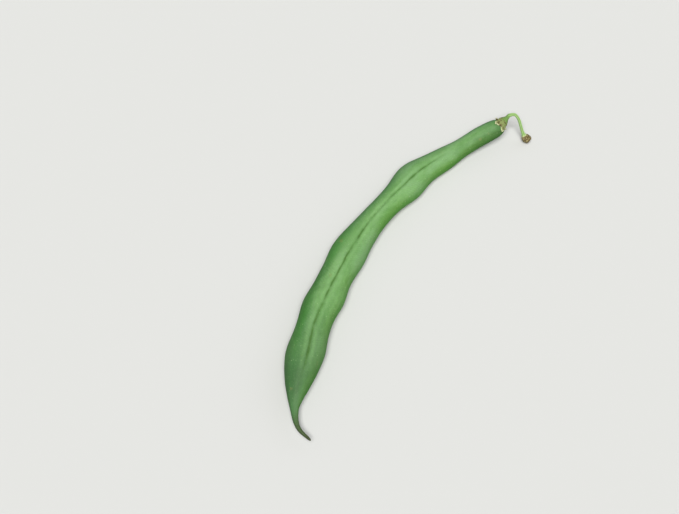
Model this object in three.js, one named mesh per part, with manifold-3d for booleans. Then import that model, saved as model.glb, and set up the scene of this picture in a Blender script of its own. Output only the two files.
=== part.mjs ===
// Green bean: one picked pod of a snap bean, with its dried calyx and its short stalk.
//
// Units are millimetres and +Z is up. The bean lies on its underside on the plane z = 0, with the
// crescent of the pod spread out flat: the stem end is at +X, the beak at -X, and the origin is the
// middle of the footprint. The seam that the beans hang from inside runs along the top of the pod.

import * as THREE from 'three';
import { mergeVertices } from 'three/addons/utils/BufferGeometryUtils.js';
import Module from 'manifold-3d';

// ---- Driving dimensions -------------------------------------------------------------------------

// Middle line of the pod, from the stem end to the tip of the beak.
const POD_LINE = [
  [63.4, -8.7, 6.4],
  [56.4, -3.8, 5.0],
  [45.3, 2.2, 3.55],
  [33.1, 7.5, 4.1],
  [22.8, 9.8, 4.5],
  [8.5, 12.2, 4.7],
  [-3.6, 13.0, 4.65],
  [-16.9, 12.1, 5.05],
  [-29.6, 10.5, 5.1],
  [-41.8, 7.8, 4.66],
  [-53.7, 4.2, 4.5],
  [-61.1, 1.0, 4.2],
  [-65.3, -2.7, 3.9],
  [-67.0, -7.9, 3.6],
];

// Half-width of the pod's flanks, without the seeds: [distance from the stem end, half-width].
const POD_PROFILE = [
  [0, 0],
  [0.15, 1.3],
  [0.9, 2.35],
  [3, 3.05],
  [8, 3.25],
  [16, 3.2],
  [24, 3.95],
  [34, 4.3],
  [46, 4.15],
  [56, 4.2],
  [66, 4.85],
  [76, 5.2],
  [88, 5.25],
  [100, 5.2],
  [110, 5.2],
  [117, 4.95],
  [122, 3.9],
  [126, 2.6],
  [130, 1.35],
  [134, 0.85],
  [138, 0.6],
  [141, 0.4],
  [141.8, 0],
];
const HEIGHT_TO_WIDTH = 0.95;

// Seeds that swell the pod: the distance of each from the stem end, how much it swells the flanks,
// how far that spreads along the pod, and how much further on the left flank swells than the middle.
const SEEDS = [
  { at: 39.2, swell: 1.3, spread: 6.5, stagger: 1.2 },
  { at: 73.4, swell: 0.65, spread: 5.9, stagger: 0.4 },
  { at: 93.0, swell: 0.75, spread: 5.2, stagger: -2.2 },
  { at: 111.2, swell: 0.75, spread: 5.4, stagger: -0.6 },
];
const SEED_SHARE_ON_TOP = 0.35;

// The seam: a groove between two low ridges, rolled a little towards the hollow of the crescent.
const SEAM_ROLL = THREE.MathUtils.degToRad(10);
const SEAM_SWAY = THREE.MathUtils.degToRad(3.2);
const SEAM_SWAY_LENGTH = 37;
const SEAM_SWAY_START = 26;
const GROOVE_DEPTH = 0.32;
const GROOVE_WIDTH = THREE.MathUtils.degToRad(5.5);
const RIDGE_HEIGHT = 0.1;
const RIDGE_PLACE = THREE.MathUtils.degToRad(14);
const RIDGE_WIDTH = THREE.MathUtils.degToRad(6.5);
const SEAM_STARTS = [22, 34];
const SEAM_ENDS = [117, 127];

const POD_RINGS = 100;
const POD_SIDES = 28;
// Above 1, the sides of a ring crowd towards the seam.
const SIDE_CROWDING = 1.4;

// The calyx: a small bell seated on the shoulder of the pod's blunt end, on the seam's side, and
// leaning up. It hugs the pod, so it is cut by the pod's end with a thin gap between them.
const CALYX_RISE = 1.5;
const CALYX_DEPTH = 0.25;
const CALYX_TILT = THREE.MathUtils.degToRad(35);
const CALYX_GAP = 0.3;
const CALYX_PROFILE = [
  [0, -1.2],
  [1.75, -1.2],
  [2.0, -0.95],
  [1.9, -0.1],
  [1.6, 0.8],
  [1.2, 1.6],
  [0.85, 2.2],
  [0, 2.4],
];
const CALYX_SIDES = 24;

// The five dry sepals stand out from the bell's rim, back over the pod's shoulder.
const SEPAL_COUNT = 5;
const SEPAL_LENGTH = 1.9;
const SEPAL_HALF_WIDTH = 0.75;
const SEPAL_FLATNESS = 0.5;
const SEPAL_ROOT_RADIUS = 1.4;
const SEPAL_ROOT_HEIGHT = 0.1;
const SEPAL_SPREAD = THREE.MathUtils.degToRad(118);

// The stalk leaves the tip of the calyx, arches over and comes down to the table. These are the
// points of its middle line after the first short stretch, which runs straight on from the calyx.
const STALK_STRAIGHT = 1.0;
const STALK_LINE = [
  [66.5, -11.4, 10.1],
  [66.7, -12.8, 8.6],
  [66.2, -14.1, 6.4],
  [65.7, -15.3, 4.2],
  [65.4, -16.7, 2.25],
  [65.3, -18.5, 1.5],
];
// Radius of the stalk: [distance from the calyx, radius]. It ends in the knob where it came off.
const STALK_PROFILE = [
  [0, 0],
  [0.05, 0.6],
  [0.8, 0.62],
  [2.5, 0.52],
  [7, 0.48],
  [10.2, 0.55],
  [11.2, 0.9],
  [12.0, 1.36],
  [13.0, 1.42],
  [13.8, 1.0],
  [14.0, 0],
];
const STALK_RINGS = 30;
const STALK_SIDES = 12;

// ---- Bodies grown along a line ------------------------------------------------------------------

// A closed body whose cross-sections follow a line. It starts as a sphere's grid of rings, so its
// ends close by themselves. upwards sets which side of the line is its top, and
// section(distance, radius, angle from the top) gives a point of the outline, [to the left, up].
function bodyAlong(linePoints, profilePoints, upwards, rings, sides, section) {
  const line = new THREE.CatmullRomCurve3(linePoints.map((point) => new THREE.Vector3(...point)));
  line.arcLengthDivisions = 400;
  const profile = new THREE.SplineCurve(profilePoints.map((point) => new THREE.Vector2(...point)));
  const fullDistance = profilePoints.at(-1)[0];

  const grid = new THREE.SphereGeometry(1, sides, rings);
  grid.deleteAttribute('normal');
  grid.deleteAttribute('uv');
  const body = mergeVertices(grid);
  const position = body.getAttribute('position');
  for (let i = 0; i < position.count; i++) {
    const along = Math.acos(THREE.MathUtils.clamp(position.getY(i), -1, 1)) / Math.PI;
    const around = Math.atan2(position.getX(i), position.getZ(i));
    const { x: distance, y: radius } = profile.getPoint(along);
    const share = THREE.MathUtils.clamp(distance / fullDistance, 0, 1);
    const centre = line.getPointAt(share);
    const ahead = line.getTangentAt(share);
    const left = new THREE.Vector3().crossVectors(upwards, ahead).normalize();
    const top = new THREE.Vector3().crossVectors(ahead, left);
    const [toLeft, upward] = section(distance, Math.max(radius, 0), around);
    const place = centre.addScaledVector(left, toLeft).addScaledVector(top, upward);
    position.setXYZ(i, place.x, place.y, place.z);
  }
  body.computeVertexNormals();
  return body;
}

// The same body with its whole surface moved outwards by a margin.
function grownOutwards(body, margin) {
  const position = body.getAttribute('position');
  const normal = body.getAttribute('normal');
  for (let i = 0; i < position.count; i++) {
    const place = new THREE.Vector3().fromBufferAttribute(position, i);
    const outwards = new THREE.Vector3().fromBufferAttribute(normal, i);
    place.addScaledVector(outwards, margin);
    position.setXYZ(i, place.x, place.y, place.z);
  }
  return body;
}

function bell(offset, width) {
  return Math.exp(-((offset / width) ** 2));
}

// ---- Pod ----------------------------------------------------------------------------------------

function seedSwelling(distance, angle) {
  const toLeft = Math.sin(angle);
  const onTop = Math.max(Math.cos(angle), 0) * SEED_SHARE_ON_TOP;
  const share = toLeft ** 2 + (1 - toLeft ** 2) * onTop;
  let swelling = 0;
  for (const seed of SEEDS) {
    const offset = distance - seed.at - seed.stagger * toLeft;
    swelling += seed.swell * share * bell(offset, seed.spread);
  }
  return swelling;
}

function seamRelief(distance, angle) {
  const starts = THREE.MathUtils.smoothstep(distance, ...SEAM_STARTS);
  const ends = THREE.MathUtils.smoothstep(distance, ...SEAM_ENDS);
  const groove = GROOVE_DEPTH * bell(angle, GROOVE_WIDTH);
  const ridges = RIDGE_HEIGHT * bell(Math.abs(angle) - RIDGE_PLACE, RIDGE_WIDTH);
  return starts * (1 - ends) * (ridges - groove);
}

function podSection(distance, halfWidth, around) {
  const angle = Math.sign(around) * Math.PI * (Math.abs(around) / Math.PI) ** SIDE_CROWDING;
  const relief = seedSwelling(distance, angle) + seamRelief(distance, angle);
  const toLeft = (halfWidth + relief) * Math.sin(angle);
  const upward = (halfWidth * HEIGHT_TO_WIDTH + relief) * Math.cos(angle);
  const sway = Math.sin((2 * Math.PI * (distance - SEAM_SWAY_START)) / SEAM_SWAY_LENGTH);
  const roll = SEAM_ROLL + SEAM_SWAY * sway;
  return [
    toLeft * Math.cos(roll) + upward * Math.sin(roll),
    upward * Math.cos(roll) - toLeft * Math.sin(roll),
  ];
}

// The pod's own weight presses flat spots where it touches the table.
function pressFlat(body) {
  const position = body.getAttribute('position');
  for (let i = 0; i < position.count; i++) {
    position.setZ(i, Math.max(position.getZ(i), 0));
  }
}

function makePod() {
  const upwards = new THREE.Vector3(0, 0, 1);
  const body = bodyAlong(POD_LINE, POD_PROFILE, upwards, POD_RINGS, POD_SIDES, podSection);
  pressFlat(body);
  return body;
}

// ---- Calyx --------------------------------------------------------------------------------------

function toSolid(wasm, geometry) {
  const bare = geometry.clone();
  bare.deleteAttribute('normal');
  bare.deleteAttribute('uv');
  const merged = mergeVertices(bare);
  const mesh = new wasm.Mesh({
    numProp: 3,
    vertProperties: new Float32Array(merged.getAttribute('position').array),
    triVerts: new Uint32Array(merged.getIndex().array),
  });
  return new wasm.Manifold(mesh);
}

function toGeometry(solid) {
  const mesh = solid.getMesh();
  const geometry = new THREE.BufferGeometry();
  geometry.setAttribute('position', new THREE.BufferAttribute(mesh.vertProperties, 3));
  geometry.setIndex(new THREE.BufferAttribute(mesh.triVerts, 1));
  geometry.computeVertexNormals();
  return geometry;
}

// Where the calyx is seated on the pod's stem end, and the direction in which it points.
function calyxSeat() {
  const end = new THREE.Vector3(...POD_LINE[0]);
  const outward = end.clone().sub(new THREE.Vector3(...POD_LINE[1])).normalize();
  const across = new THREE.Vector3().crossVectors(outward, new THREE.Vector3(0, 0, 1)).normalize();
  const up = new THREE.Vector3().crossVectors(across, outward);
  const seat = end.clone().addScaledVector(up, CALYX_RISE).addScaledVector(outward, -CALYX_DEPTH);
  const axis = outward.clone().applyAxisAngle(across, CALYX_TILT);
  return { seat, axis };
}

// One dry sepal: a flattened cone that leans out from the bell and back over the pod.
function makeSepal(turn) {
  const sepal = new THREE.ConeGeometry(SEPAL_HALF_WIDTH, SEPAL_LENGTH, 8);
  sepal.translate(0, SEPAL_LENGTH / 2, 0);
  sepal.scale(1, 1, SEPAL_FLATNESS);
  sepal.rotateX(SEPAL_SPREAD);
  sepal.translate(0, SEPAL_ROOT_HEIGHT, SEPAL_ROOT_RADIUS);
  sepal.rotateY(turn);
  return sepal;
}

// The calyx's own +Y runs from the pod towards the stalk, and the pod's end is cut out of it.
function makeCalyx(wasm) {
  const { seat, axis } = calyxSeat();
  const place = new THREE.Matrix4().compose(
    seat,
    new THREE.Quaternion().setFromUnitVectors(new THREE.Vector3(0, 1, 0), axis),
    new THREE.Vector3(1, 1, 1),
  );
  const profile = CALYX_PROFILE.map((point) => new THREE.Vector2(...point));
  const cup = new THREE.LatheGeometry(profile, CALYX_SIDES);
  let solid = toSolid(wasm, cup.applyMatrix4(place));
  for (let i = 0; i < SEPAL_COUNT; i++) {
    const sepal = makeSepal((i / SEPAL_COUNT) * 2 * Math.PI);
    solid = solid.add(toSolid(wasm, sepal.applyMatrix4(place)));
  }
  const podWithGap = grownOutwards(makePod(), CALYX_GAP);
  return toGeometry(solid.subtract(toSolid(wasm, podWithGap)));
}

// ---- Stalk --------------------------------------------------------------------------------------

function stalkSection(distance, radius, around) {
  return [radius * Math.sin(around), radius * Math.cos(around)];
}

function makeStalk() {
  const { seat, axis } = calyxSeat();
  const calyxTip = CALYX_PROFILE.at(-1)[1];
  const root = seat.clone().addScaledVector(axis, calyxTip + CALYX_GAP);
  const straightOn = root.clone().addScaledVector(axis, STALK_STRAIGHT);
  const points = [root.toArray(), straightOn.toArray(), ...STALK_LINE];
  const upwards = new THREE.Vector3(1, 0, 0);
  return bodyAlong(points, STALK_PROFILE, upwards, STALK_RINGS, STALK_SIDES, stalkSection);
}

// ---- Bean ---------------------------------------------------------------------------------------

const podSkin = new THREE.MeshStandardMaterial({ color: 0x6ea763, roughness: 0.42, metalness: 0 });
const drySepal = new THREE.MeshStandardMaterial({ color: 0x9c8a5e, roughness: 0.9, metalness: 0 });
const stalkSkin = new THREE.MeshStandardMaterial({ color: 0x9cc47a, roughness: 0.55, metalness: 0 });

function named(name, geometry, material) {
  const mesh = new THREE.Mesh(geometry, material);
  mesh.name = name;
  return mesh;
}

const wasm = await Module();
wasm.setup();

const pod = named('pod', makePod(), podSkin);
const calyx = named('calyx', makeCalyx(wasm), drySepal);
const stalk = named('stalk', makeStalk(), stalkSkin);

const bean = new THREE.Group();
bean.add(pod, calyx, stalk);

export default bean;
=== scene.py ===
"""Green bean: one picked snap bean, lying on its side, with its dry calyx and its short stalk.

The pod is grown along its middle line, the calyx is draped over the pod's stem end, and the stalk
grows out of the calyx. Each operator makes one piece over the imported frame. Sizes are in metres.
"""

from math import cos, pi, radians, sin

import bpy
import numpy as np
from bpy.props import FloatProperty, FloatVectorProperty, IntProperty, PointerProperty
from bpy.types import Operator, Panel, PropertyGroup
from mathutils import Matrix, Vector
from mathutils.bvhtree import BVHTree


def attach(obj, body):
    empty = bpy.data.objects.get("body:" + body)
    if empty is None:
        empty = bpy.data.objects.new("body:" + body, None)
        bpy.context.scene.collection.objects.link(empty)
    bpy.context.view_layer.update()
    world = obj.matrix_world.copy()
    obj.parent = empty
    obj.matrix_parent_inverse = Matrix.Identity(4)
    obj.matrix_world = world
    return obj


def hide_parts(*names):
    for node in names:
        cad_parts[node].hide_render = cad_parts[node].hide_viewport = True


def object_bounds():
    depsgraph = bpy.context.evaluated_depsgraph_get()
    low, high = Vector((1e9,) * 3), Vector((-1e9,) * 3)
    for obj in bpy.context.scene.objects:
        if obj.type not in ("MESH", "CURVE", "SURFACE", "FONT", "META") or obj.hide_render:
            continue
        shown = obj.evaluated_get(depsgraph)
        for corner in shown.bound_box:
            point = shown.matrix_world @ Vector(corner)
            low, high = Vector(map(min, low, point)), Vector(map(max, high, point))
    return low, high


bl_info = {
    "name": "Green bean",
    "version": (1, 0, 0),
    "blender": (4, 5, 0),
    "location": "3D View > Sidebar > Bean",
    "description": "Makes a picked green bean's pod, calyx and stalk, and a plain stage for them",
    "category": "Object",
}

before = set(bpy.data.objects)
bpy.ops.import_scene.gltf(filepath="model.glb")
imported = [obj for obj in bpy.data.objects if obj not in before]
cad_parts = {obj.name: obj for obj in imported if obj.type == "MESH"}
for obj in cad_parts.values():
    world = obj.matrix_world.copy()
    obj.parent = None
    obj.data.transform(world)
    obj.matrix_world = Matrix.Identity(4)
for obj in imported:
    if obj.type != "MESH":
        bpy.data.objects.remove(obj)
FRAME_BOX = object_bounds()

MM = 0.001


# ---- The bean's lines ---------------------------------------------------------------------------

# Middle line of the pod, from the stem end to the tip of the beak.
POD_LINE = MM * np.array([
    [63.4, -8.7, 6.4],
    [56.4, -3.8, 5.0],
    [45.3, 2.2, 3.55],
    [33.1, 7.5, 4.1],
    [22.8, 9.8, 4.5],
    [8.5, 12.2, 4.7],
    [-3.6, 13.0, 4.65],
    [-16.9, 12.1, 5.05],
    [-29.6, 10.5, 5.1],
    [-41.8, 7.8, 4.66],
    [-53.7, 4.2, 4.5],
    [-61.1, 1.0, 4.2],
    [-65.3, -2.7, 3.9],
    [-67.0, -7.9, 3.6],
])

# Half-width of the pod's flanks, without the seeds: [distance from the stem end, half-width].
POD_PROFILE = MM * np.array([
    [0, 0],
    [0.15, 1.3],
    [0.9, 2.35],
    [3, 3.05],
    [8, 3.25],
    [16, 3.2],
    [24, 3.95],
    [34, 4.3],
    [46, 4.15],
    [56, 4.2],
    [66, 4.85],
    [76, 5.2],
    [88, 5.25],
    [100, 5.2],
    [110, 5.2],
    [117, 4.95],
    [122, 3.9],
    [126, 2.6],
    [130, 1.35],
    [134, 0.85],
    [138, 0.6],
    [141, 0.4],
    [141.8, 0],
])
HEIGHT_TO_WIDTH = 0.95

# Seeds that swell the pod: distance from the stem end, swelling, spread, and how much further on
# the left flank swells than the middle.
SEEDS = MM * np.array([
    [39.2, 1.3, 6.5, 1.2],
    [73.4, 0.65, 5.9, 0.4],
    [93.0, 0.75, 5.2, -2.2],
    [111.2, 0.75, 5.4, -0.6],
])
SEED_SHARE_ON_TOP = 0.35

# The stalk's middle line after its first straight stretch, and its radius by the distance from
# the calyx. It ends in the knob where it came off the plant.
STALK_STRAIGHT = 1.0 * MM
STALK_SUNK = 1.0 * MM
STALK_LINE = MM * np.array([
    [66.5, -11.4, 10.1],
    [66.7, -12.8, 8.6],
    [66.2, -14.1, 6.4],
    [65.7, -15.3, 4.2],
    [65.4, -16.7, 2.25],
    [65.3, -18.5, 1.5],
])
STALK_PROFILE = MM * np.array([
    [0, 0],
    [0.1, 0.85],
    [0.8, 0.72],
    [1.8, 0.62],
    [3.5, 0.52],
    [8, 0.48],
    [11.2, 0.55],
    [12.2, 0.9],
    [13.0, 1.32],
    [14.0, 1.38],
    [14.8, 1.0],
    [14.75, 0.5],
    [14.55, 0],
])

# The calyx: a bell on the shoulder of the pod's blunt end, on the seam's side, leaning up.
CALYX_RISE = 1.5 * MM
CALYX_DEPTH = 0.25 * MM
CALYX_TILT = radians(35)
CALYX_TIP = 2.4 * MM
SEPALS = 5


# ---- Sizes and colours --------------------------------------------------------------------------


def length(name, description, millimetres):
    """A size of the bean, given here in millimetres."""
    return FloatProperty(
        name=name, description=description, default=millimetres * MM, unit="LENGTH", precision=5
    )


def linear(*values):
    """The linear colour of red, green and blue given from 0 to 255, as paint charts give them."""
    shares = np.array(values) / 255
    return tuple(np.where(shares <= 0.04045, shares / 12.92, ((shares + 0.055) / 1.055) ** 2.4))


def colour(name, description, red, green, blue):
    """A colour of the bean, given here from 0 to 255."""
    return FloatVectorProperty(
        name=name,
        description=description,
        default=linear(red, green, blue),
        subtype="COLOR",
        min=0,
        max=1,
    )


class PodLooks(PropertyGroup):
    """Sizes and colours of the pod"""

    rings: IntProperty(name="Rings", description="Rings of points along the pod", default=760)
    sides: IntProperty(name="Sides", description="Points in each ring", default=120)
    groove: length("Groove", "Depth of the seam's groove", 0.18)
    crease: length("Crease", "Depth of the fine crease in the bottom of the groove", 0.10)
    ridge: length("Ridges", "Height of the ridges beside the groove", 0.07)
    keel: length("Keel", "Height of the second seam, along the underside", 0.16)
    wrinkle: length("Wrinkles", "Height of the fine wrinkles that cross the flanks", 0.012)
    fibre: length("Fibres", "Height of the fine ribs that run along the pod", 0.010)
    neck_rib: length("Neck ribs", "Height of the ribs that run out of the calyx", 0.06)
    beak_rib: length("Beak ribs", "Height of the ribs that draw together into the beak", 0.10)
    unevenness: length("Unevenness", "How far the flanks rise and fall with no pattern", 0.045)
    dent: length("Dents", "Depth of the deepest small dent", 0.05)
    leaf_green: colour("Green", "The skin's main green", 100, 145, 84)
    pale_green: colour("Pale green", "The skin's paler patches", 116, 158, 100)
    # Painted highlight: the paler ridges beside the groove.
    ridge_highlight_green: colour("Ridge green", "The ridges beside the groove", 118, 160, 100)
    # Painted shade: the darker green in the bottom of the groove.
    groove_shade_green: colour("Groove green", "The bottom of the groove", 76, 116, 54)
    # The warm and cool greens are painted light: painted reflected light and shade on the hollow's
    # flank, and painted cool shade on the outer flank.
    warm_shade_green: colour("Warm green", "The flank in the crescent's hollow", 80, 132, 34)
    cool_shade_green: colour("Cool green", "The outer flank", 56, 114, 56)
    # Painted shade: the deep green low on both flanks.
    edge_shade_green: colour("Edge green", "The deep green low on the flanks", 44, 122, 8)
    beak_green: colour("Beak green", "The narrow end before the beak", 68, 104, 62)
    beak_olive: colour("Beak olive", "The beak", 65, 81, 48)
    beak_brown: colour("Beak brown", "The dried tip of the beak", 56, 60, 33)
    # Partly a real waxy bloom, partly a painted sheen; it also paints the highlights on the cheek
    # and at the beak's root.
    bloom_and_sheen: colour("Bloom", "The waxy film on the upper side", 120, 158, 112)
    speck: colour("Specks", "The fine pale specks", 176, 206, 150)
    freckle: colour("Freckles", "The few fine dark specks", 52, 84, 40)
    blush: colour("Blush", "The faint rusty patches", 142, 132, 84)


class CalyxLooks(PropertyGroup):
    """Sizes and colours of the calyx"""

    rings: IntProperty(name="Rings", description="Rings from the stalk to the rim", default=60)
    sides: IntProperty(name="Sides", description="Points in each ring", default=240)
    thickness: length("Thickness", "Thickness of the sepals at the rim", 0.16)
    lift: length("Lift", "How far the sepals' tips may stand off the pod", 0.8)
    vein: length("Veins", "Height of the veins that run down the calyx", 0.06)
    green: colour("Green", "The fresh part near the stalk", 104, 138, 70)
    straw: colour("Straw", "The dry part of the sepals", 138, 142, 92)
    brown: colour("Brown", "The dead spots and edges", 74, 54, 34)
    rim: colour("Rim", "The papery rim", 206, 208, 166)


class StalkLooks(PropertyGroup):
    """Sizes and colours of the stalk"""

    rings: IntProperty(name="Rings", description="Rings of points along the stalk", default=260)
    sides: IntProperty(name="Sides", description="Points in each ring", default=64)
    rib: length("Ribs", "Height of the ribs along the stalk", 0.05)
    scar: length("Scar", "Roughness of the knob where the stalk came off", 0.22)
    green: colour("Green", "The stalk's main green", 118, 156, 82)
    # The paler ribs are partly the stalk's own colour and partly a painted highlight.
    pale: colour("Pale green", "The stalk's ribs", 176, 208, 142)
    root: colour("Root green", "The stalk's root in the calyx", 104, 138, 70)
    straw: colour("Straw", "The knob", 172, 160, 114)
    brown: colour("Brown", "The pits of the knob", 84, 70, 36)
    collar: colour("Collar", "The pale edge of the knob", 190, 192, 146)


class StageLooks(PropertyGroup):
    """The floor's colour and the strength of the lights"""

    floor: colour("Floor", "The floor's colour", 200, 201, 200)
    sky: FloatProperty(name="Sky", description="Strength of the light from all round", default=0.22)
    key: FloatProperty(name="Key light", description="Strength of the overhead light", default=3.9)
    fill: FloatProperty(name="Fill light", description="Strength of the side light", default=0.35)


# ---- Bodies grown along a line ------------------------------------------------------------------

# Free room at a strip's sides and ends in the bake's map.
MAP_MARGINS = (0.01, 0.005)


def line_through(points, steps=60):
    """Places along a centripetal Catmull-Rom line through points."""
    knots = np.vstack([2 * points[0] - points[1], points, 2 * points[-1] - points[-2]])
    gaps = np.sqrt(np.linalg.norm(np.diff(knots, axis=0), axis=1))
    t = np.linspace(0, 1, steps, endpoint=False)[:, None]
    spans = []
    for i in range(len(points) - 1):
        p0, p1, p2, p3 = knots[i : i + 4]
        g0, g1, g2 = gaps[i : i + 3]
        leaving = g1 * ((p1 - p0) / g0 - (p2 - p0) / (g0 + g1) + (p2 - p1) / g1)
        coming = g1 * ((p2 - p1) / g1 - (p3 - p1) / (g1 + g2) + (p3 - p2) / g2)
        bend = 3 * (p2 - p1) - 2 * leaving - coming
        twist = 2 * (p1 - p2) + leaving + coming
        spans.append(p1 + leaving * t + bend * t**2 + twist * t**3)
    return np.vstack([*spans, points[-1:]])


def profile_through(points, steps=60):
    """Places along a plain Catmull-Rom curve through points, as a profile is drawn."""
    knots = np.vstack([points[:1], points, points[-1:]])
    t = np.linspace(0, 1, steps, endpoint=False)[:, None]
    spans = []
    for i in range(len(points) - 1):
        p0, p1, p2, p3 = knots[i : i + 4]
        leaving = (p2 - p0) / 2
        coming = (p3 - p1) / 2
        bend = 3 * (p2 - p1) - 2 * leaving - coming
        twist = 2 * (p1 - p2) + leaving + coming
        spans.append(p1 + leaving * t + bend * t**2 + twist * t**3)
    return np.vstack([*spans, points[-1:]])


def run_of(line):
    """Distance along a line of places, at each of them."""
    steps = np.linalg.norm(np.diff(line, axis=0), axis=1)
    return np.concatenate([[0], np.cumsum(steps)])


def at(line, run, distances):
    """The line's places at distances along it, where run is its own distances."""
    return np.stack([np.interp(distances, run, axis) for axis in line.T], axis=-1)


def unit(vectors):
    """The same directions, each of length 1."""
    return vectors / np.linalg.norm(vectors, axis=-1, keepdims=True)


def rings_along(profile, count):
    """Distance and radius of rings set evenly over a profile."""
    fine = profile_through(profile)
    run = run_of(fine)
    return at(fine, run, np.linspace(0, run[-1], count)).T


def swept(points, distances, upwards, to_left, upward):
    """Places of rings that stand square to a line. to_left and upward are grids, ring by side."""
    line = line_through(points)
    run = run_of(line)
    directions = np.gradient(line, run, axis=0)
    share = np.clip(distances / distances[-1], 0, 1)
    centre = at(line, run, share * run[-1])
    ahead = unit(at(directions, run, share * run[-1]))
    left = unit(np.cross(upwards, ahead))
    top = np.cross(ahead, left)
    return centre[:, None] + left[:, None] * to_left[..., None] + top[:, None] * upward[..., None]


def bell(offset, width):
    """1 where offset is 0, falling smoothly to about a third at width and on to 0."""
    return np.exp(-((offset / width) ** 2))


def smoothstep(value, low, high):
    """0 up to low, 1 from high on, and a smooth rise between them."""
    share = np.clip((value - low) / (high - low), 0, 1)
    return share * share * (3 - 2 * share)


def waves(places, reach, seed, count=28):
    """Random smooth waves over places, from about -1 to 1, about reach from crest to crest."""
    draw = np.random.default_rng(seed)
    heading = draw.normal(size=(count, places.shape[-1])) * (pi / reach)
    phase = draw.uniform(0, 2 * pi, count)
    return np.cos(places @ heading.T + phase).sum(axis=-1) / np.sqrt(count)


def grid_of(*parts):
    """Places from their parts, which may be rings, sides or both."""
    return np.stack(np.broadcast_arrays(*parts), axis=-1)


def inside_frame(places):
    """The same places, drawn in where they would reach past the frame's box."""
    for axis in range(3):
        low, high = places[..., axis].min(), places[..., axis].max()
        kept = [max(low, FRAME_BOX[0][axis]), min(high, FRAME_BOX[1][axis])]
        places[..., axis] = np.interp(places[..., axis], [low, high], kept)
    return places


def closed_object(name, places, marks, strips):
    """A closed mesh over a grid of places, ring by side. Its first and last ring are one point.

    marks are values for the finish to read, each a grid. The bake's map cuts the piece across into
    strips and lays them side by side.
    """
    rings, sides = places.shape[:2]

    def at_points(grid):
        grid = grid.reshape(rings, sides, -1)
        ends = grid[0].mean(axis=0), grid[-1].mean(axis=0)
        return np.vstack([ends[0], grid[1:-1].reshape((rings - 2) * sides, -1), ends[1]])

    ring, side = np.mgrid[0 : rings - 1, 0:sides].reshape(2, -1)
    corners = np.stack([[ring, side], [ring, side + 1], [ring + 1, side + 1], [ring + 1, side]])
    number = 1 + (corners[:, 0] - 1) * sides + corners[:, 1] % sides
    number = np.where(corners[:, 0] == 0, 0, number)
    number = np.where(corners[:, 0] == rings - 1, (rings - 2) * sides + 1, number).T
    points = at_points(places)
    first, second, third, fourth = (points[number[:, i]] for i in range(4))
    if (first * (np.cross(second, third) + np.cross(third, fourth))).sum() < 0:
        number = number[:, ::-1]
        corners = corners[::-1]

    strip = ring * strips // (rings - 1)
    starts = -(-strip * (rings - 1) // strips)
    stops = -(-(strip + 1) * (rings - 1) // strips)
    gap, end = MAP_MARGINS
    across = (strip + gap + (1 - 2 * gap) * corners[:, 1] / sides) / strips
    down = end + (1 - 2 * end) * (corners[:, 0] - starts) / (stops - starts)
    flat = np.stack([across, down], axis=-1).transpose(1, 0, 2)

    faces, map_places = [], []
    for face, place in zip(number.tolist(), flat.tolist()):
        kept = [i for i in range(4) if face[i] != face[i - 1]]
        faces.append([face[i] for i in kept])
        map_places.extend(place[i] for i in kept)
    mesh = bpy.data.meshes.new(name)
    mesh.from_pydata(points.tolist(), [], faces)
    mesh.polygons.foreach_set("use_smooth", [True] * len(faces))
    layer = mesh.uv_layers.new(name="OFBake")
    layer.uv.foreach_set("vector", np.array(map_places, np.float32).ravel())
    for mark, grid in marks.items():
        values = at_points(grid)
        kind, field = ("FLOAT", "value") if values.shape[1] == 1 else ("FLOAT_VECTOR", "vector")
        attribute = mesh.attributes.new(mark, kind, "POINT")
        attribute.data.foreach_set(field, values.astype(np.float32).ravel())
    mesh.validate()
    made = bpy.data.objects.new(name, mesh)
    bpy.context.scene.collection.objects.link(made)
    return made


def dressed(piece, finish, slot, *nodes):
    """Gives a piece its finish, and sets it in the frame in place of the nodes."""
    piece.data.materials.append(finish)
    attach(piece, "root")
    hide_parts(*nodes)


# ---- Finishes -----------------------------------------------------------------------------------


class Value:
    """An output of a node. Sums on values add Math nodes to their finish."""

    def __init__(self, finish, socket):
        self.finish = finish
        self.socket = socket

    def output(self, name):
        """Another output of the same node."""
        return Value(self.finish, self.socket.node.outputs[name])

    def math(self, operation, first, second):
        return self.finish.node("ShaderNodeMath", {"operation": operation}, {0: first, 1: second})

    def __add__(self, other):
        return self.math("ADD", self, other)

    def __radd__(self, other):
        return self.math("ADD", other, self)

    def __sub__(self, other):
        return self.math("SUBTRACT", self, other)

    def __rsub__(self, other):
        return self.math("SUBTRACT", other, self)

    def __mul__(self, other):
        return self.math("MULTIPLY", self, other)

    def __rmul__(self, other):
        return self.math("MULTIPLY", other, self)

    def __truediv__(self, other):
        return self.math("DIVIDE", self, other)

    def __rtruediv__(self, other):
        return self.math("DIVIDE", other, self)

    def __pow__(self, other):
        return self.math("POWER", self, other)

    def __rpow__(self, other):
        return self.math("POWER", other, self)

    def __abs__(self):
        return self.math("ABSOLUTE", self, 0.0)

    def sine(self):
        return self.math("SINE", self, 0.0)


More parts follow.
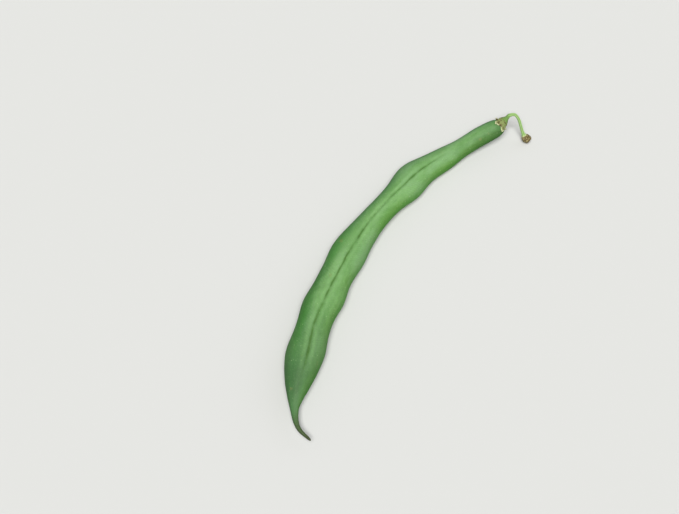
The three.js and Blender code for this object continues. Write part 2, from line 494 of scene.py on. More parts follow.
class Finish:
    """A material in the making. Its methods add nodes and give back their outputs as values."""

    def __init__(self, name):
        self.material = bpy.data.materials.new(name)
        self.material.use_nodes = True
        self.tree = self.material.node_tree
        self.tree.nodes.clear()

    def node(self, kind, settings, values, output=0):
        """A node of a kind: its settings first, then the values or links of its sockets."""
        made = self.tree.nodes.new(kind)
        for name, setting in settings.items():
            setattr(made, name, setting)
        for name, value in values.items():
            if isinstance(value, Value):
                self.tree.links.new(value.socket, made.inputs[name])
            else:
                made.inputs[name].default_value = value
        return Value(self, made.outputs[output]) if made.outputs else None

    def mark(self, name, output="Fac"):
        """A value that the mesh holds at its points."""
        return self.node("ShaderNodeAttribute", {"attribute_name": name}, {}, output)

    def parts(self, vector):
        """The three parts of a vector."""
        split = self.node("ShaderNodeSeparateXYZ", {}, {0: vector})
        return split, split.output("Y"), split.output("Z")

    def stretched(self, vector, along, across):
        """Places scaled by one share along the bean and another across it."""
        scales = (along, across, across)
        return self.node("ShaderNodeVectorMath", {"operation": "MULTIPLY"}, {0: vector, 1: scales})

    def noise(self, vector, scale, detail=3.0, roughness=0.55):
        """Clouds, with this many to a unit of the places."""
        values = {"Vector": vector, "Scale": scale, "Detail": detail, "Roughness": roughness}
        return self.node("ShaderNodeTexNoise", {}, values)

    def cells(self, vector, scale):
        """The distance to the middle of the nearest of scattered cells."""
        values = {"Vector": vector, "Scale": scale, "Randomness": 1.0}
        return self.node("ShaderNodeTexVoronoi", {"feature": "F1"}, values)

    def smooth(self, value, low, high):
        """0 up to low, 1 from high on, and a smooth rise between them. low may be the higher."""
        settings = {"interpolation_type": "SMOOTHSTEP", "clamp": True}
        ends = (low, high, 0.0, 1.0) if low < high else (high, low, 1.0, 0.0)
        names = ("From Min", "From Max", "To Min", "To Max")
        values = {"Value": value, **dict(zip(names, ends))}
        return self.node("ShaderNodeMapRange", settings, values)

    def stretch(self, value, rises, fades):
        """1 over one stretch of the values, with a smooth rise and a smooth fade at its ends."""
        return self.smooth(value, *rises) * self.smooth(value, *fades)

    def mixed(self, share, first, second, how="MIX"):
        """The first colour at share 0, and the second at share 1."""
        settings = {"data_type": "RGBA", "blend_type": how, "clamp_factor": True}
        values = {0: share}
        for socket, value in ((6, first), (7, second)):
            values[socket] = value if isinstance(value, Value) else (*value, 1.0)
        return self.node("ShaderNodeMix", settings, values, 2)

    def brightened(self, shade, by):
        """A colour made lighter where by is over 1 and darker where it is under 1."""
        grey = self.node("ShaderNodeCombineColor", {}, {0: by, 1: by, 2: by})
        return self.mixed(1.0, shade, grey, "MULTIPLY")

    def bump(self, height, depth, under=None):
        """Fine relief of a depth in metres, on top of another bump if one is given."""
        values = {"Height": height, "Distance": depth, "Strength": 1.0}
        if under:
            values["Normal"] = under
        return self.node("ShaderNodeBump", {}, values)

    def surface(self, **values):
        """The shader, with its sockets' names written with low lines for spaces."""
        named = {name.replace("_", " "): value for name, value in values.items()}
        shader = self.node("ShaderNodeBsdfPrincipled", {}, named)
        self.node("ShaderNodeOutputMaterial", {}, {"Surface": shader})
        return self.material


# Stretches of the pod's skin, by distance from the stem end in millimetres. Each pair of numbers is
# where a stretch sets in, or ends, and where it is full.
# Painted shade round the neck.
NECK = (16.0, 0.5)
# Painted shadow on one side of the neck.
SHADED_NECK_SIDE = (28.0, 10.0)
# Painted highlight on the second seed's bulge.
CHEEK_HIGHLIGHT = ((57.0, 67.0), (85.0, 76.0))
# Painted shade on the outer flank.
SHADED_OUTER_FLANK = ((58.0, 78.0), (118.0, 106.0))
# Painted shade on the outer flank.
SHADED_FLANK = ((77.0, 85.0), (105.0, 95.0))
NARROW_END = (88.0, 120.0)
DRY_END = (112.0, 124.0)
# Painted shade on the taper's crown.
SHADED_TAPER = ((115.0, 122.0), (131.0, 125.0))
# Painted highlight at the beak's root.
BEAK_ROOT_HIGHLIGHT = ((123.0, 129.0), (138.0, 133.0))
BEAK = (130.0, 137.0)
BEAK_TIP = (139.5, 143.0)


class PodSkin(Finish):
    """Satin skin, warmer on one flank with painted reflected light and shade, cooler on the other
    with painted shade, with a groove darkened by painted shade, and specks.
    """

    def __init__(self, looks):
        super().__init__("pod_skin")
        self.looks = looks
        self.place = self.mark("grown", "Vector")
        self.groove, self.crease, self.ridge = map(self.mark, ("groove", "crease", "ridge"))
        self.swell, self.wrinkle = self.mark("swell"), self.mark("wrinkle")
        self.along, self.left, self.up = self.parts(self.place)
        left, up = self.left, self.up
        self.flank = left / (left * left + up * up + 0.01) ** 0.5

        self.patches = self.noise(self.stretched(self.place, 0.35, 1.0), 0.22, 4.0)
        self.streaks = self.noise(self.stretched(self.place, 0.09, 1.0), 1.5, 3.0)
        self.mottle = self.noise(self.stretched(self.place, 0.6, 1.0), 0.8, 3.0, 0.6)
        self.grain = self.noise(self.place, 2.6, 4.0, 0.6)

        self.neck = self.smooth(self.along, *NECK)
        self.narrow = self.smooth(self.along, *NARROW_END)
        # Where the outer flank takes painted cool shade.
        self.cool_shade = self.smooth(self.flank - 0.35 * self.narrow, -0.3, -1.0)
        self.beak = self.smooth(self.along, *BEAK)

    def greens(self):
        """The greens of the pod's body, with painted reflected light, painted shade and painted
        highlights on them, and the waxy film, partly a painted sheen.
        """
        looks, narrow = self.looks, self.narrow
        clouds = self.smooth(0.7 * self.patches + 0.3 * self.mottle, 0.38, 0.64)
        skin = self.mixed(clouds, looks.leaf_green, looks.pale_green)
        skin = self.mixed(0.9 * narrow, skin, looks.beak_green)
        # Painted reflected light and shade on the hollow's flank, less over the seeds, and painted
        # cool shade on the outer flank.
        warm_shade = self.smooth(self.flank, 0.25, 1.0) * (1.0 - 0.4 * self.swell)
        skin = self.mixed(warm_shade * (0.65 - 0.3 * narrow), skin, looks.warm_shade_green)
        skin = self.mixed(self.cool_shade * (0.8 - 0.4 * narrow), skin, looks.cool_shade_green)
        # Painted highlight: paler over the seeds' bulges.
        skin = self.mixed(0.20 * self.swell, skin, looks.pale_green)
        # Painted highlight on the raised ridges beside the groove.
        skin = self.mixed(0.30 * self.ridge, skin, looks.ridge_highlight_green)

        # A waxy bloom in patches, kept to the upper side, where it is partly a painted sheen of the
        # overhead light.
        film = self.noise(self.stretched(self.place, 0.5, 1.0), 0.16, 5.0, 0.6)
        bloom_and_sheen = self.smooth(film, 0.48, 0.66) * self.smooth(self.up, -0.5, 2.5)
        skin = self.mixed(bloom_and_sheen * (0.35 - 0.25 * narrow), skin, looks.bloom_and_sheen)
        # A faint painted highlight at the beak's root.
        skin = self.mixed(0.11 * self.stretch(self.along, *BEAK_ROOT_HIGHLIGHT), skin, looks.bloom_and_sheen)
        # Painted highlight on the cheek of the second seed's bulge, on the hollow's flank.
        cheek_highlight = 0.45 * self.stretch(self.along, *CHEEK_HIGHLIGHT) * self.smooth(self.flank, 0.3, 0.7)
        skin = self.mixed(cheek_highlight, skin, looks.bloom_and_sheen)
        # Painted shade: deep green low on both flanks, and on the outer flank over its middle
        # stretch.
        outer = self.stretch(self.along, *SHADED_OUTER_FLANK) * self.smooth(self.flank, -0.45, -0.85)
        edge_shade = outer + self.smooth(self.flank, 0.8, 1.0)
        return self.mixed(0.45 * edge_shade, skin, looks.edge_shade_green)

    def with_groove_and_ends(self, skin):
        """The same colours, with the groove's painted shade, the beak's own colours and the neck's
        painted cool shade over them.
        """
        looks = self.looks
        # Painted shade in the groove and its crease.
        skin = self.mixed(0.5 * self.groove + 0.4 * self.crease, skin, looks.groove_shade_green)
        skin = self.mixed(self.beak, skin, looks.beak_olive)
        tip = self.smooth(self.along + 3.0 * self.grain, *BEAK_TIP)
        skin = self.mixed(tip, skin, looks.beak_brown)
        # Painted cool shade on the neck.
        return self.mixed(0.3 * self.neck, skin, looks.cool_shade_green)

    def wrinkle_lines(self):
        """The fine lines that cross the flanks at a slant."""
        slant = self.along + 0.7 * abs(self.left)
        return self.wrinkle * (slant * 7.0 + 14.0 * self.patches + 5.0 * self.mottle).sine()

    def tone_and_painted_shade(self, lines):
        """How light the skin is: grain and streaks all over, and painted shade on the flanks, the
        neck, the groove, the narrow end and the taper's crown.
        """
        flank, narrow = self.flank, self.narrow
        light = 0.70 + 0.14 * self.streaks + 0.24 * self.grain + 0.26 * self.mottle + 0.05 * lines
        # Painted shade: both flanks darker towards their edges, more so near the narrow end.
        light = light - (0.14 + 0.08 * narrow) * self.smooth(abs(flank), 0.6, 1.0)
        # Painted shade: the outer flank and the groove near the narrow end, and the whole neck.
        light = light - 0.10 * narrow * self.cool_shade - 0.12 * self.neck - 0.12 * narrow * self.groove
        # Painted shade on the outer flank's middle stretch.
        flank_shade = self.stretch(self.along, *SHADED_FLANK)
        light = light - 0.15 * flank_shade * self.smooth(flank, -0.35, -0.75)
        # Painted shadow on one side of the neck by the stem end.
        neck_shade = self.smooth(self.along, *SHADED_NECK_SIDE) * self.smooth(flank, -0.4, 0.6)
        # Painted shade on the crown of the taper before the beak.
        taper_shade = self.stretch(self.along, *SHADED_TAPER)
        crown = self.smooth(flank, 0.35, -0.05) * self.smooth(flank, -1.1, -0.3)
        taper_shade = 0.20 * taper_shade * crown * self.smooth(self.up, -1.0, 1.0)
        return light - 0.26 * neck_shade - taper_shade

    def finished(self):
        """The material, with its specks, its sheen and its finest relief."""
        looks = self.looks
        lines = self.wrinkle_lines()
        skin = self.with_groove_and_ends(self.greens())
        skin = self.brightened(skin, self.tone_and_painted_shade(lines))

        cells = self.cells(self.stretched(self.place, 0.7, 1.0), 1.15)
        chosen = self.parts(cells.output("Color"))[0]
        pale = self.smooth(cells, 0.2, 0.06) * self.smooth(chosen, 0.6, 0.7) * (1.0 - self.beak)
        dark = self.smooth(cells, 0.16, 0.05) * self.smooth(chosen, 0.20, 0.16)
        pores = self.smooth(self.cells(self.stretched(self.place, 0.6, 1.0), 3.4), 0.30, 0.12)
        blush = self.smooth(self.noise(self.place, 0.34, 2.0), 0.66, 0.76)
        skin = self.mixed(0.34 * pale, skin, looks.speck)
        skin = self.mixed(0.12 * pores, skin, looks.speck)
        skin = self.mixed(0.55 * dark, skin, looks.freckle)
        skin = self.mixed(0.22 * blush, skin, looks.blush)

        rough = 0.38 + 0.14 * self.patches + 0.10 * self.groove + 0.08 * pale
        rough = rough + 0.2 * self.smooth(self.along, *DRY_END)
        rough = rough + 0.3 * self.smooth(abs(self.flank), 0.5, 0.95)
        relief = self.bump(self.streaks, 0.06 * MM)
        relief = self.bump(self.grain, 0.04 * MM, relief)
        relief = self.bump(lines, 0.012 * MM, relief)
        relief = self.bump(pale - 0.4 * pores, 0.015 * MM, relief)
        return self.surface(
            Base_Color=skin,
            Roughness=rough,
            Normal=relief,
            IOR=1.45,
            Specular_IOR_Level=0.42,
            Specular_Tint=(0.72, 0.95, 0.68, 1.0),
            Subsurface_Weight=0.12,
            Subsurface_Radius=(0.45, 1.0, 0.25),
            Subsurface_Scale=1.2 * MM,
        )


def dry_calyx(looks):
    """Dry sepals: green by the stalk, straw below, with brown spots and a papery rim."""
    finish = Finish("dry_calyx")
    place = finish.mark("grown", "Vector")
    rim, vein = finish.mark("rim"), finish.mark("vein")
    fibres = finish.noise(place, 3.2, 5.0, 0.65)
    blots = finish.noise(place, 1.1, 3.0)
    skin = finish.mixed(finish.smooth(rim + 0.35 * fibres, 0.35, 0.85), looks.green, looks.straw)
    skin = finish.mixed(0.45 * vein, skin, looks.green)
    skin = finish.mixed(0.85 * finish.smooth(blots, 0.53, 0.62), skin, looks.brown)
    edge = finish.smooth(rim + 0.12 * fibres, 0.94, 1.02) * finish.smooth(blots, 0.62, 0.54)
    skin = finish.mixed(edge, skin, looks.rim)
    skin = finish.brightened(skin, 0.72 + 0.5 * fibres)
    return finish.surface(
        Base_Color=skin,
        Roughness=0.72 + 0.2 * fibres,
        Normal=finish.bump(fibres, 0.12 * MM),
        IOR=1.4,
        Specular_IOR_Level=0.3,
    )


def stalk_skin(looks):
    """Pale green ribbed stalk, which ends in a rough straw-coloured knob."""
    finish = Finish("stalk_skin")
    place = finish.mark("grown", "Vector")
    rib, knob = finish.mark("rib"), finish.mark("knob")
    fibres = finish.noise(finish.stretched(place, 0.2, 1.0), 3.0, 4.0, 0.6)
    grit = finish.noise(place, 4.0, 4.0, 0.65)
    crumbs = finish.cells(place, 2.4) + 0.9 * grit
    # Paler ribs along the stalk, partly a painted highlight.
    skin = finish.mixed(rib * fibres * 1.4, looks.green, looks.pale)
    skin = finish.mixed(finish.smooth(finish.parts(place)[0], 2.6, 0.9), skin, looks.root)
    rough_end = finish.smooth(knob + 0.5 * grit, 0.55, 0.95)
    collar = finish.smooth(knob + 0.3 * grit, 0.2, 0.6)
    skin = finish.mixed(0.7 * collar, skin, looks.collar)
    skin = finish.mixed(rough_end, skin, looks.straw)
    pits = rough_end * finish.smooth(crumbs, 0.66, 1.0)
    skin = finish.mixed(0.9 * pits, skin, looks.brown)
    skin = finish.brightened(skin, 0.86 + 0.25 * fibres)
    relief = finish.bump(fibres, 0.05 * MM)
    relief = finish.bump((1.0 - crumbs) * rough_end, 0.2 * MM, relief)
    return finish.surface(
        Base_Color=skin,
        Roughness=0.5 + 0.35 * rough_end,
        Normal=relief,
        IOR=1.4,
        Specular_IOR_Level=0.4,
        Subsurface_Weight=0.1,
        Subsurface_Radius=(0.6, 1.0, 0.3),
        Subsurface_Scale=0.6 * MM,
    )


# ---- Pod ----------------------------------------------------------------------------------------

# The seam's groove is rolled a little towards the hollow of the crescent, and sways as it goes.
SEAM_ROLL = radians(10)
SEAM_SWAY = radians(3.2)
SEAM_SWAY_LENGTH = 37 * MM
SEAM_SWAY_START = 26 * MM
SEAM_STARTS = (22 * MM, 34 * MM)
SEAM_ENDS = (111 * MM, 123 * MM)
# The groove's course by distance from the stem end in millimetres: its share of the full depth, and
# how many degrees it strays to the left.
SEAM_COURSE = np.array([
    [0, 1.0, 0.0],
    [30, 1.0, 0.0],
    [38, 1.15, 0.0],
    [46, 0.75, 0.0],
    [58, 0.7, 0.0],
    [67, 1.0, 0.0],
    [76, 1.0, 0.5],
    [86, 1.15, 4.5],
    [96, 1.2, 2.5],
    [104, 1.2, -4.0],
    [111, 1.3, 1.0],
    [118, 1.3, 6.0],
    [142, 1.0, 6.0],
])
# Small waves in the groove's course: length, and where in the wave it starts.
SEAM_WOBBLES = ((13 * MM, 0.0), (5.3 * MM, 1.0))
SEAM_WOBBLE_DEGREES = 0.4
# Shallower and deeper spots in the groove: share of the depth, reach, and random seed.
SEAM_BREAKS = ((0.24, 3.5 * MM, 15), (0.12, 1.3 * MM, 16))
LEAST_SEAM_DEPTH = 0.5
GROOVE_WIDTH = radians(5.6)
CREASE_WIDTH = radians(2.2)
RIDGE_PLACE = radians(14)
RIDGE_WIDTH = radians(6.5)
KEEL_WIDTH = radians(4)
KEEL_STARTS = (4 * MM, 20 * MM)
# Ribs run out of the calyx at the neck, and draw together into the beak.
NECK_RIBS = 9
NECK_RIBS_REACH = 9 * MM
BEAK_RIBS = 8
BEAK_RIBS_TURN = 2.0
BEAK_RIBS_START = (120 * MM, 132 * MM)
FIBRE_WIDTH = 0.8 * MM
UNEVEN_REACH = 12 * MM
# Wrinkles beside the seam: their middle and spread as angles from the top, the length from one to
# the next, and how far along one strays for each step that it takes down the flank.
WRINKLE_PLACE = radians(30)
WRINKLE_SPREAD = radians(24)
WRINKLE_LENGTH = 1.5 * MM
WRINKLE_SLANT = 0.45
# Small dents: their number, the stretch of the pod that they lie on, their reach, their share of
# the full depth, and how much longer than wide they are.
DENTS = 26
DENTS_STRETCH = (8, 118)
DENT_REACH = (0.7, 2.4)
DENT_SHARE = (0.25, 1.0)
DENT_LENGTH = 1.8
# A middling radius of the skin, by which an angle round the pod becomes a distance.
SKIN_RADIUS = 4.8 * MM
# The relief is full where the pod's half-width is at least this, and fades towards both tips.
FULL_RELIEF_WIDTH = 4.2 * MM
# How softly the underside is pressed flat where it meets the floor.
PRESSED = 0.04 * MM
SIDE_CROWDING = 1.3
POD_STRIPS = 2


def seed_swelling(distance, angle):
    """How far the seeds swell the pod, and the same as a share of the seed nearest by."""
    to_left = np.sin(angle)
    share = to_left**2 + (1 - to_left**2) * np.maximum(np.cos(angle), 0) * SEED_SHARE_ON_TOP
    swelling = np.zeros(np.broadcast_shapes(distance.shape, angle.shape))
    mark = swelling.copy()
    for place, swell, spread, stagger in SEEDS:
        near = bell(distance - place - stagger * to_left, spread)
        swelling += swell * share * near
        mark += near
    return swelling, mark


def dents(distance, angle, deepest):
    """A few small dents at random places."""
    draw = np.random.default_rng(11)
    relief = np.zeros(np.broadcast_shapes(distance.shape, angle.shape))
    for _ in range(DENTS):
        place = draw.uniform(*DENTS_STRETCH) * MM
        turn = draw.uniform(-pi, pi)
        reach = draw.uniform(*DENT_REACH) * MM
        depth = deepest * draw.uniform(*DENT_SHARE)
        across = np.angle(np.exp(1j * (angle - turn))) * SKIN_RADIUS
        relief -= depth * bell((distance - place) / DENT_LENGTH, reach) * bell(across, reach)
    return relief


def seam_course(distance):
    """The groove's share of its full depth at rings, and its turn to the left of the top."""
    course = profile_through(SEAM_COURSE)
    depth, stray = (np.interp(distance, course[:, 0] * MM, course[:, i]) for i in (1, 2))
    for reach, start in SEAM_WOBBLES:
        stray = stray + SEAM_WOBBLE_DEGREES * np.sin(2 * pi * distance / reach + start)
    breaks = sum(share * waves(distance, reach, seed) for share, reach, seed in SEAM_BREAKS)
    return depth * np.maximum(1 + breaks[:, None], LEAST_SEAM_DEPTH), np.radians(stray)


def flank_wrinkles(straight, distance, angle):
    """Where the fine wrinkles lie beside the seam, and their height from -1 to 1."""
    some = np.clip(0.5 + 0.8 * waves(straight, 9 * MM, seed=5), 0, 1)
    wrinkled = bell(np.abs(angle) - WRINKLE_PLACE, WRINKLE_SPREAD) * some
    slant = distance + WRINKLE_SLANT * SKIN_RADIUS * np.abs(angle)
    drift = 5.0 * waves(straight, 5 * MM, seed=6)
    return wrinkled, np.sin(2 * pi * slant / WRINKLE_LENGTH + drift)


def make_pod_skin(looks):
    """The pod's places and marks."""
    distance, half_width = rings_along(POD_PROFILE, looks.rings)
    distance, half_width = distance[:, None], np.maximum(half_width, 0)[:, None]
    around = np.linspace(-pi, pi, looks.sides, endpoint=False)
    angle = (np.sign(around) * pi * (np.abs(around) / pi) ** SIDE_CROWDING)[None]
    level, height = half_width * np.sin(angle), half_width * np.cos(angle) * HEIGHT_TO_WIDTH
    straight = grid_of(distance, level, height)

    depth, stray = seam_course(distance)
    off_seam = angle - stray
    seam = smoothstep(distance, *SEAM_STARTS) * (1 - smoothstep(distance, *SEAM_ENDS))
    groove = seam * depth * bell(off_seam, GROOVE_WIDTH)
    crease = seam * depth * np.minimum(depth, 1) ** 1.5 * bell(off_seam, CREASE_WIDTH)
    ridge = seam * bell(np.abs(off_seam) - RIDGE_PLACE, RIDGE_WIDTH)
    swelling, swell = seed_swelling(distance, angle)
    wrinkled, wrinkles = flank_wrinkles(straight, distance, angle)
    keel = bell(pi - np.abs(angle), KEEL_WIDTH) * smoothstep(distance, *KEEL_STARTS)
    neck_ribs = np.cos(NECK_RIBS * angle) * bell(distance, NECK_RIBS_REACH)
    beak_ribs = np.cos(BEAK_RIBS * off_seam + BEAK_RIBS_TURN)

    relief = swelling + looks.ridge * ridge - looks.groove * groove - looks.crease * crease
    relief += looks.keel * keel
    relief += looks.wrinkle * wrinkled * wrinkles * seam
    relief += looks.fibre * waves(straight * np.array([0.1, 1, 1]), FIBRE_WIDTH, seed=7)
    relief += looks.neck_rib * neck_ribs
    relief += looks.beak_rib * smoothstep(distance, *BEAK_RIBS_START) * beak_ribs
    relief += looks.unevenness * waves(straight, UNEVEN_REACH, seed=8)
    relief += dents(distance, angle, looks.dent)
    relief = relief * np.clip(half_width / FULL_RELIEF_WIDTH, 0, 1) ** 1.5

    to_left = (half_width + relief) * np.sin(angle)
    upward = (half_width * HEIGHT_TO_WIDTH + relief) * np.cos(angle)
    roll = SEAM_ROLL + SEAM_SWAY * np.sin(2 * pi * (distance - SEAM_SWAY_START) / SEAM_SWAY_LENGTH)
    rolled_left = to_left * np.cos(roll) + upward * np.sin(roll)
    rolled_up = upward * np.cos(roll) - to_left * np.sin(roll)
    places = swept(POD_LINE, distance[:, 0], (0, 0, 1), rolled_left, rolled_up)
    places[..., 2] = (places[..., 2] + np.sqrt(places[..., 2] ** 2 + PRESSED**2)) / 2
    marks = {
        "grown": grid_of(distance, to_left, upward) / MM,
        "groove": groove,
        "crease": crease,
        "ridge": ridge,
        "swell": np.clip(swell, 0, 1),
        "wrinkle": wrinkled * seam,
    }
    return places, marks


class MakePod(Operator):
    """Makes the pod, with its seam, its seed bulges and its beak"""

    bl_idname = "green_bean.make_pod"
    bl_label = "Pod"

    def execute(self, context):
        looks = context.scene.bean_pod
        places, marks = make_pod_skin(looks)
        pod = closed_object("bean_pod", inside_frame(places), marks, POD_STRIPS)
        dressed(pod, PodSkin(looks).finished(), "pod_skin", "pod")
        return {"FINISHED"}


# ---- Calyx --------------------------------------------------------------------------------------

# The bell's outline from the stalk out to the longest sepal: [radius, height along its axis].
BELL_LINE = MM * np.array([
    [0.55, 2.75],
    [0.72, 2.35],
    [1.05, 1.75],
    [1.5, 1.0],
    [1.85, 0.25],
    [2.1, -0.3],
    [2.5, -0.75],
    [2.95, -1.15],
    [3.4, -1.5],
])
# How far down the bell's outline the notches and the shortest and longest sepals reach, how much
# the least and the most curled tips lift, and the ragged rim: share, reach and random seed.
NOTCH_SHARE = 0.62
SEPAL_REACH = (0.72, 1.0)
SEPAL_CURL = (0.15, 1.0)
SEPAL_POINT = 0.8
RAGGED = ((0.035, 0.10, 3), (0.02, 0.03, 9))
VEINS = 3 * SEPALS
# Where down the calyx the veins start, where it turns onto the pod, and where its tips may curl.
VEINS_START = (0.25, 0.5)
SHOULDER = (0.45, 0.8)
TIPS = (0.7, 1.0)
# How firmly the calyx and its lining are held to the pod where they would stand off it.
SHOULDER_HOLD = 0.85
LINING_HOLD = 0.3
# Rows of the lining turn the rim in, by shares of its thickness, and then run to the middle. It
# lies this deep under the calyx's seat, and they sink this far into the pod.
RIM_TURN = (0.35, 0.8, 1.0)
LINING_ROWS = np.linspace(0.06, 1, 14)
LINING_DEPTH = 0.6 * MM
LINING_SUNK = 0.1 * MM
CALYX_STRIPS = 1


def calyx_seat():
    """Where the calyx sits on the pod's stem end, and the direction that it points in."""
    end, before = Vector(POD_LINE[0]), Vector(POD_LINE[1])
    outward = (end - before).normalized()
    across = outward.cross(Vector((0, 0, 1))).normalized()
    up = across.cross(outward)
    seat = end + up * CALYX_RISE - outward * CALYX_DEPTH
    axis = outward * cos(CALYX_TILT) + up * sin(CALYX_TILT)
    return seat, axis


def draped(places, lift, surface):
    """Places moved to stand off a surface. lift holds two numbers for each of them.

    The first is how firmly a place that is too high is drawn down, from 0 to 1. The second is how
    high over the surface it should be. A place that is lower is always raised to that.
    """
    for index in np.ndindex(places.shape[:2]):
        place = Vector(places[index])
        nearest, normal, _, _ = surface.find_nearest(place)
        height = (place - nearest).dot(normal)
        hold, wanted = lift[index]
        if height < wanted:
            moved = wanted - height
        else:
            moved = (wanted - height) * hold
        places[index] = place + normal * moved
    return places


def sepals(around):
    """How far down the calyx reaches at each side, as a share, and how much it curls there."""
    tooth = np.abs((around * SEPALS / (2 * pi) + 0.5) % 1 - 0.5) * 2
    number = np.floor(around * SEPALS / (2 * pi) + 0.5).astype(int) % SEPALS
    draw = np.random.default_rng(4)
    lengths = draw.uniform(*SEPAL_REACH, SEPALS)[number]
    curls = draw.uniform(*SEPAL_CURL, SEPALS)[number]
    ragged = sum(share * waves(around[:, None], size, seed) for share, size, seed in RAGGED)
    reach = NOTCH_SHARE + (lengths - NOTCH_SHARE) * (1 - tooth) ** SEPAL_POINT + ragged
    return reach, curls * (1 - tooth)


def lining(rim, seat, axis, thickness, surface):
    """Rows of places from the rim in under the calyx, close to the pod's surface."""
    middle = seat - axis * LINING_DEPTH
    inward = unit(np.array([surface.find_nearest(Vector(place))[1] for place in rim]))
    rows = [rim - inward * thickness * share for share in RIM_TURN]
    below = rim - inward * thickness
    rows += [below + (middle - below) * share for share in LINING_ROWS]
    rows = np.stack(rows)
    laid = rows[len(RIM_TURN) : -1]
    hold = np.full(laid.shape[:2], LINING_HOLD)
    rows[len(RIM_TURN) : -1] = draped(laid, grid_of(hold, -LINING_SUNK), surface)
    return rows


def make_calyx_skin(looks, surface):
    """The calyx's places and marks, draped over the pod's surface."""
    around = np.linspace(0, 2 * pi, looks.sides, endpoint=False)
    reach, curl = sepals(around)
    line = profile_through(BELL_LINE)
    run = run_of(line)
    down = np.linspace(0, 1, looks.rings)[:, None]
    radius, height = np.moveaxis(at(line, run, down * reach * run[-1]), -1, 0)
    vein = np.cos(VEINS * around)[None] * smoothstep(down, *VEINS_START)
    radius = radius + looks.vein * 0.5 * vein

    seat, axis = calyx_seat()
    turn = Vector((0, 1, 0)).rotation_difference(axis)
    seat, axis = np.array(seat), np.array(axis)
    local = grid_of(radius * np.sin(around), height, radius * np.cos(around))
    outer = local @ np.array(turn.to_matrix()).T + seat
    shoulder = smoothstep(down * reach, *SHOULDER)
    stand = looks.thickness + looks.lift * curl * smoothstep(down, *TIPS)
    outer = draped(outer, grid_of(SHOULDER_HOLD * shoulder, stand * shoulder), surface)

    inner = lining(outer[-1], seat, axis, looks.thickness, surface)
    places = np.concatenate([outer, inner])
    rim = np.concatenate([np.repeat(down, looks.sides, axis=1), np.ones(inner.shape[:2])])
    veins = np.concatenate([0.5 + 0.5 * vein, np.full(inner.shape[:2], 0.5)])
    return places, {"grown": places / MM, "rim": rim, "vein": veins}


def surface_of(piece):
    """A piece's surface, for finding the nearest point on it."""
    vertices = [vertex.co for vertex in piece.data.vertices]
    return BVHTree.FromPolygons(vertices, [face.vertices for face in piece.data.polygons])


class MakeCalyx(Operator):
    """Makes the dry calyx with its five sepals, over the pod's stem end"""

    bl_idname = "green_bean.make_calyx"
    bl_label = "Calyx"

    def execute(self, context):
        looks = context.scene.bean_calyx
        if "bean_pod" not in bpy.data.objects:
            raise RuntimeError("The calyx is draped over the pod, so make the pod first")
        surface = surface_of(bpy.data.objects["bean_pod"])
        places, marks = make_calyx_skin(looks, surface)
        calyx = closed_object("bean_calyx", inside_frame(places), marks, CALYX_STRIPS)
        dressed(calyx, dry_calyx(looks), "dry_calyx", "calyx")
        return {"FINISHED"}


# ---- Stalk --------------------------------------------------------------------------------------

STALK_GAP = 0.3 * MM
STALK_RIBS = 5
STALK_TWIST = radians(55) / (10 * MM)
STALK_RIBS_START = (0.8 * MM, 2.4 * MM)
KNOB_START = (11.4 * MM, 13.2 * MM)
STALK_FULL_RELIEF = 0.5 * MM
STALK_STRIPS = 2


def make_stalk_skin(looks):
    """The stalk's places and marks, from inside the calyx's tip to the knob."""
    seat, axis = (np.array(vector) for vector in calyx_seat())
    root = seat + axis * (CALYX_TIP + STALK_GAP)
    start, straight_on = root - axis * STALK_SUNK, root + axis * STALK_STRAIGHT
    points = np.vstack([start, root, straight_on, STALK_LINE])
    distance, radius = rings_along(STALK_PROFILE, looks.rings)
    around = np.linspace(-pi, pi, looks.sides, endpoint=False)[None]
    distance = np.maximum.accumulate(distance)[:, None]
    radius = np.maximum(radius, 0)[:, None]

    round_places = grid_of(distance, radius * np.sin(around), radius * np.cos(around))
    rib = np.cos(STALK_RIBS * around + STALK_TWIST * distance)
    knob = smoothstep(distance, *KNOB_START)
    coarse, fine = waves(round_places, 0.55 * MM, seed=21), waves(round_places, 0.28 * MM, seed=22)
    relief = looks.rib * rib * smoothstep(distance, *STALK_RIBS_START) * (1 - 0.6 * knob)
    relief = relief + looks.scar * 0.5 * knob * (coarse + 0.5 * fine)
    reach = radius + relief * np.clip(radius / STALK_FULL_RELIEF, 0, 1)
    to_left, upward = reach * np.sin(around), reach * np.cos(around)
    places = swept(points, distance[:, 0], (1, 0, 0), to_left, upward)
    knob = np.repeat(knob, looks.sides, axis=1)
    marks = {"grown": round_places / MM, "rib": 0.5 + 0.5 * rib, "knob": knob}
    return places, marks


class MakeStalk(Operator):
    """Makes the stalk, with the knob where it came off the plant"""

    bl_idname = "green_bean.make_stalk"
    bl_label = "Stalk"

    def execute(self, context):
        looks = context.scene.bean_stalk
        places, marks = make_stalk_skin(looks)
        stalk = closed_object("bean_stalk", inside_frame(places), marks, STALK_STRIPS)
        dressed(stalk, stalk_skin(looks), "stalk_skin", "stalk")
        return {"FINISHED"}


# ---- Stage --------------------------------------------------------------------------------------

# The camera looks down on the bean.
CAMERA_AIM = Vector((-5.13, 16.28, 0.0)) * MM
CAMERA_AZIMUTH = radians(-61.4)
CAMERA_ELEVATION = radians(58)
CAMERA_DISTANCE = 449.12 * MM
CAMERA_LENS = 74.23
CAMERA_SENSOR = 36.0
CAMERA_CLIP = (0.01, 50.0)
# Each light's spread, turn and height as angles, and its tint.
KEY_LIGHT = (radians(30), radians(-66), radians(62), (1.0, 0.99, 0.96))
FILL_LIGHT = (radians(50), radians(60), radians(35), (0.92, 0.96, 1.0))
LIGHT_DISTANCE = 0.8
FLOOR_HALF = 4.0


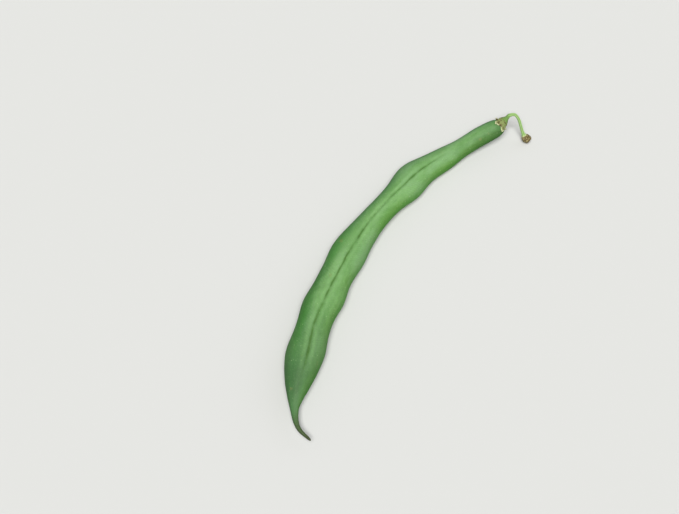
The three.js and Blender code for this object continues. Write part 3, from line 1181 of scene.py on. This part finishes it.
def towards(azimuth, elevation):
    """The direction from the aim out to a camera or lamp at these angles."""
    level = Vector((sin(azimuth), -cos(azimuth), 0)) * cos(elevation)
    return level + Vector((0, 0, sin(elevation)))


def placed(data, name, azimuth, elevation, distance):
    """A camera or lamp at a distance from the aim, looking at it."""
    made = bpy.data.objects.new(name, data)
    out = towards(azimuth, elevation)
    made.location = CAMERA_AIM + out * distance
    made.rotation_mode = "QUATERNION"
    made.rotation_quaternion = (-out).to_track_quat("-Z", "Y")
    bpy.context.scene.collection.objects.link(made)
    return made


def soft_light(name, strength, spread, azimuth, elevation, tint):
    """A light that falls evenly over the whole floor, as from a wide soft panel far away."""
    light = bpy.data.lights.new(name, "SUN")
    light.angle = spread
    light.energy = strength
    light.color = tint
    return placed(light, name, azimuth, elevation, LIGHT_DISTANCE)


def plain_floor(shade):
    """A flat matt floor under the bean."""
    mesh = bpy.data.meshes.new("floor")
    half = FLOOR_HALF
    corners = [(-half, -half, 0), (half, -half, 0), (half, half, 0), (-half, half, 0)]
    mesh.from_pydata(corners, [], [(0, 1, 2, 3)])
    floor = bpy.data.objects.new("floor", mesh)
    bpy.context.scene.collection.objects.link(floor)
    finish = Finish("floor")
    matt = finish.surface(Base_Color=(*shade, 1.0), Roughness=1.0, Specular_IOR_Level=0.0)
    mesh.materials.append(matt)


class MakeStage(Operator):
    """Makes the pale floor, the soft lights and the camera"""

    bl_idname = "green_bean.make_stage"
    bl_label = "Stage"

    def execute(self, context):
        looks = context.scene.bean_stage
        scene = context.scene
        plain_floor(looks.floor)
        world = bpy.data.worlds.new("studio")
        world.use_nodes = True
        background = world.node_tree.nodes["Background"]
        background.inputs["Color"].default_value = (1.0, 1.0, 1.0, 1.0)
        background.inputs["Strength"].default_value = looks.sky
        scene.world = world
        soft_light("key", looks.key, *KEY_LIGHT)
        soft_light("fill", looks.fill, *FILL_LIGHT)
        camera = bpy.data.cameras.new("camera")
        camera.lens = CAMERA_LENS
        camera.sensor_width = CAMERA_SENSOR
        camera.clip_start, camera.clip_end = CAMERA_CLIP
        scene.camera = placed(camera, "camera", CAMERA_AZIMUTH, CAMERA_ELEVATION, CAMERA_DISTANCE)
        scene.view_settings.view_transform = "Standard"
        return {"FINISHED"}


# ---- Panel and main -----------------------------------------------------------------------------


class BeanPanel(Panel):
    """Lists what makes the bean"""

    bl_idname = "VIEW3D_PT_green_bean"
    bl_label = "Green bean"
    bl_space_type = "VIEW_3D"
    bl_region_type = "UI"
    bl_category = "Bean"

    def draw(self, context):
        for maker in MAKERS:
            self.layout.operator(maker.bl_idname)


MAKERS = (MakePod, MakeCalyx, MakeStalk, MakeStage)
LOOKS = {
    "bean_pod": PodLooks,
    "bean_calyx": CalyxLooks,
    "bean_stalk": StalkLooks,
    "bean_stage": StageLooks,
}


def register():
    for each in (*LOOKS.values(), *MAKERS, BeanPanel):
        bpy.utils.register_class(each)
    for name, looks in LOOKS.items():
        setattr(bpy.types.Scene, name, PointerProperty(type=looks))


def unregister():
    for name in LOOKS:
        delattr(bpy.types.Scene, name)
    for each in (BeanPanel, *reversed(MAKERS), *LOOKS.values()):
        bpy.utils.unregister_class(each)


def main():
    register()
    bpy.ops.green_bean.make_stage()
    bpy.ops.green_bean.make_pod()
    bpy.ops.green_bean.make_calyx()
    bpy.ops.green_bean.make_stalk()


if __name__ == "__main__":
    main()
